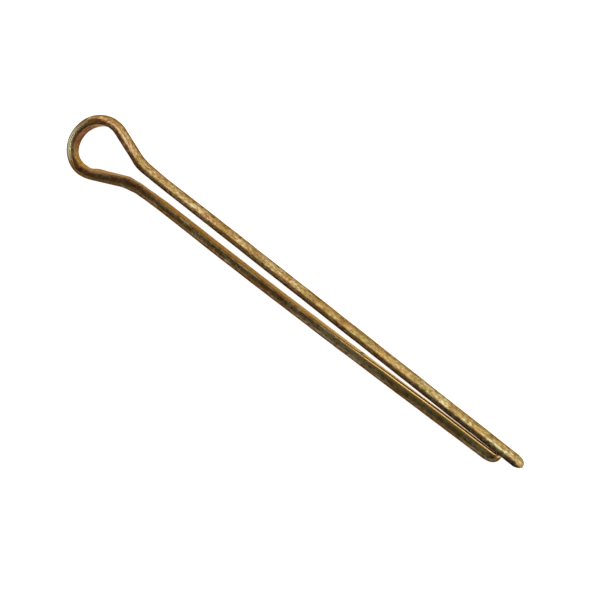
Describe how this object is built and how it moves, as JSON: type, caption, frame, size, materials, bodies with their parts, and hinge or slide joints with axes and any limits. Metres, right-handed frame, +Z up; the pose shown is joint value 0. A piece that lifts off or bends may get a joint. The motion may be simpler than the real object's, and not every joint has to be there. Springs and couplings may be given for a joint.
{
  "type": "cotter pin",
  "caption": "Split cotter pin bent from half-round brass wire, with a teardrop eye and legs of unequal length that lie flat side to flat side.",
  "frame": {"origin": "on the shank's middle line, in the plane under the eye where the wire turns from the eye into the legs", "axes": "+X along the shank from the eye to the tips, +Y from the short leg to the long leg, +Z up, square to the plane of the bent wire, with the pin lying flat"},
  "size_m": [0.0625, 0.0074, 0.0022],
  "materials": {
    "wire": "drawn wire, dulled and lightly tarnished, with fine streaks along it"
  },
  "bodies": {
    "root": {"cotter_pin": "wire"}
  },
  "joints": []
}
